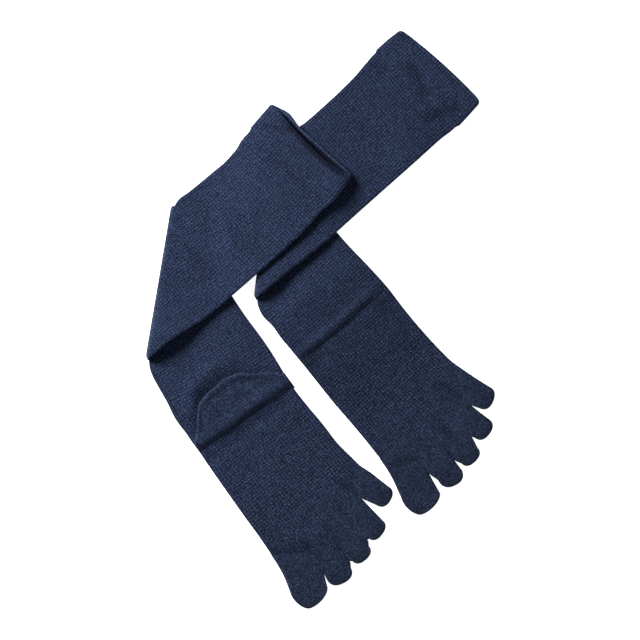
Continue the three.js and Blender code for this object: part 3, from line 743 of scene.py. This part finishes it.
def knitMaterial(name, rampShift):
    material = bpy.data.materials.new(name)
    material.use_nodes = True
    tree = material.node_tree
    tree.nodes.clear()
    uv = addNode(tree, "ShaderNodeUVMap", {"uv_map": "stitches"})
    place = addNode(tree, "ShaderNodeTexCoord", output=3)
    # stitches wander a little from their rows
    wander = addNode(tree, "ShaderNodeTexNoise", {"noise_dimensions": "3D"},
                     {"Vector": place, "Scale": 170.0, "Detail": 3.0, "Roughness": 0.7}, output=1)
    offset = addNode(tree, "ShaderNodeVectorMath", {"operation": "SUBTRACT"}, {0: wander, 1: (0.5, 0.5, 0.5)})
    moved = addNode(tree, "ShaderNodeVectorMath", {"operation": "MULTIPLY_ADD"},
                    {0: offset, 1: yarn["wander"], 2: uv})
    u = addNode(tree, "ShaderNodeSeparateXYZ", inputs={0: moved})
    v = addNode(tree, "ShaderNodeSeparateXYZ", inputs={0: moved}, output=1)
    plain = addNode(tree, "ShaderNodeAttribute", {"attribute_name": "plain"}, output=2)
    # painted light and shade carried from the meshes: cuffs, troughs, heel hollow, foot and heel pocket
    paintedShading = addNode(tree, "ShaderNodeAttribute", {"attribute_name": "paintedShading"}, output=2)
    # tuck: pebbles on a two by two repeat; plain: wale ridges of slanted loops
    across, along = (u * math.pi).cosine(), (v * math.pi).cosine()
    pebbles = (across + along) * 0.32 + across * along * 0.2
    ribs = 0.42 * (u * (2 * math.pi)).cosine()
    slant = (u - u.maths("ROUND", u)).size()
    loops = 0.2 * ((v + slant * 1.2) * (2 * math.pi)).cosine()
    # each stitch catches the light a little differently
    cell = addNode(tree, "ShaderNodeVectorMath", {"operation": "FLOOR"}, {0: moved})
    single = addNode(tree, "ShaderNodeTexWhiteNoise", {"noise_dimensions": "2D"}, {"Vector": cell})
    knit = addNode(tree, "ShaderNodeMix", {"data_type": "FLOAT"}, {0: plain, 2: pebbles, 3: ribs + loops})
    fuzz = addNode(tree, "ShaderNodeTexNoise", inputs={"Vector": place, "Scale": 1300.0, "Detail": 1.0})
    patches = addNode(tree, "ShaderNodeTexNoise", inputs={"Vector": place, "Scale": 22.0, "Detail": 3.0})
    # the knit is coarser from the heel on
    start, end = yarn["coarseFrom"]
    coarse = addNode(tree, "ShaderNodeMapRange",
                     inputs={0: v, 1: start, 2: end, 3: 1.0, 4: yarn["coarseFoot"]})
    grain = (fuzz - 0.5) * 2.1 + (single - 0.5) * 0.3
    height = (knit * 0.6 + grain * 0.6) * coarse
    # colour: the knit pattern paints shade between the stitches and light on their tops, grain and patches
    # vary it at random, and the carried painted light and shade is added
    shade = 0.5 + (knit * 0.4 + grain) * coarse + (patches - 0.5) * 0.25 + rampShift + paintedShading - plain * 0.02
    color = addNode(tree, "ShaderNodeValToRGB", {"stops": [(0.0, yarn["deep"]), (1.0, yarn["high"]),
                                                          (0.5, yarn["mid"])]}, {0: shade})
    normal = addNode(tree, "ShaderNodeBump",
                     inputs={"Strength": 0.9, "Distance": yarn["bump"], "Height": height})
    surface = addNode(tree, "ShaderNodeBsdfPrincipled", inputs={
        "Base Color": color, "Roughness": yarn["roughness"], "Normal": normal, "Specular IOR Level": 0.12,
        "Sheen Weight": yarn["sheen"], "Sheen Roughness": 0.6, "Sheen Tint": (0.55, 0.62, 0.8, 1)})
    addNode(tree, "ShaderNodeOutputMaterial", inputs={"Surface": surface})
    return material


def giveWall(piece, thickness):
    wall = piece.modifiers.new("wall", "SOLIDIFY")
    wall.thickness = thickness * 0.001
    wall.offset = -1
    wall.use_rim = True


def dress(piece, material, node):
    piece.data.materials.append(material)
    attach(piece, "root")
    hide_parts(node)


# the second number moves the whole knit along its colour ramp: the left sock's knit is a little darker
rightKnit = knitMaterial("rightKnit", 0.0)
leftKnit = knitMaterial("leftKnit", -0.03)

rightPiece = sockMesh("rightSockKnit", rightSock, rightCreases, rightUpperGround, flatGround, 0.7)
leftPiece = sockMesh("leftSockKnit", leftSock, leftCreases, leftUpperGround, heelBump, 2.1)
print("sock tubes made")
rightPocket = pocketMesh("rightHeelPocket", rightSock, cloth["tube"], True)
leftPocket = pocketMesh("leftHeelPocket", leftSock, 0.0, False)
print("heel pockets made")

for piece in (rightPiece, leftPiece):
    giveWall(piece, cloth["wall"])
dress(rightPiece, rightKnit, "right_sock")
dress(leftPiece, leftKnit, "left_sock")
dress(rightPocket, rightKnit, "right_sock")
dress(leftPocket, leftKnit, "left_sock")

# pale floor, studio light from the upper left, camera straight above
studio = {
    "floor": (0.93, 0.93, 0.93, 1),
    "half": 3.0,          # half side of the floor, in metres
    "level": -0.0003,     # just below the lowest stitch
    "glow": 0.9,
    "keyPower": 75.0,
    "fillPower": 17.0,
    "sky": 0.1,
}
half, level = studio["half"], studio["level"]
floorMesh = bpy.data.meshes.new("floor")
corners = [(-half, -half, level), (half, -half, level), (half, half, level), (-half, half, level)]
floorMesh.from_pydata(corners, [], [(0, 1, 2, 3)])
floor = bpy.data.objects.new("floor", floorMesh)
bpy.context.collection.objects.link(floor)
floorPaint = bpy.data.materials.new("floorPaint")
floorPaint.use_nodes = True
floorPaint.node_tree.nodes["Principled BSDF"].inputs["Base Color"].default_value = studio["floor"]
floorPaint.node_tree.nodes["Principled BSDF"].inputs["Roughness"].default_value = 0.9
floorPaint.node_tree.nodes["Principled BSDF"].inputs["Emission Color"].default_value = (1, 1, 1, 1)
floorPaint.node_tree.nodes["Principled BSDF"].inputs["Emission Strength"].default_value = studio["glow"]
floorMesh.materials.append(floorPaint)


def areaLight(name, place, size, power):
    lamp = bpy.data.lights.new(name, "AREA")
    lamp.shape = "DISK"
    lamp.size = size
    lamp.energy = power
    holder = bpy.data.objects.new(name, lamp)
    holder.location = place
    holder.rotation_euler = (-mathutils.Vector(place)).to_track_quat("-Z", "Y").to_euler()
    bpy.context.collection.objects.link(holder)


areaLight("keyLight", (-1.2, 0.9, 0.9), 0.7, studio["keyPower"])
areaLight("fillLight", (1.3, -1.3, 0.5), 1.2, studio["fillPower"])

scene = bpy.context.scene
world = bpy.data.worlds.new("studioWorld")
world.use_nodes = True
world.node_tree.nodes["Background"].inputs["Color"].default_value = (1, 1, 1, 1)
world.node_tree.nodes["Background"].inputs["Strength"].default_value = studio["sky"]
scene.world = world
scene.view_settings.view_transform = "Standard"

view = {"height": 2.4, "frameWidth": 0.5888}
lens = bpy.data.cameras.new("camera")
lens.sensor_width = 36
lens.lens = 36 * view["height"] / view["frameWidth"]
camera = bpy.data.objects.new("camera", lens)
camera.location = (0.0009, -0.0009, view["height"])
bpy.context.collection.objects.link(camera)
scene.camera = camera
print("studio made")
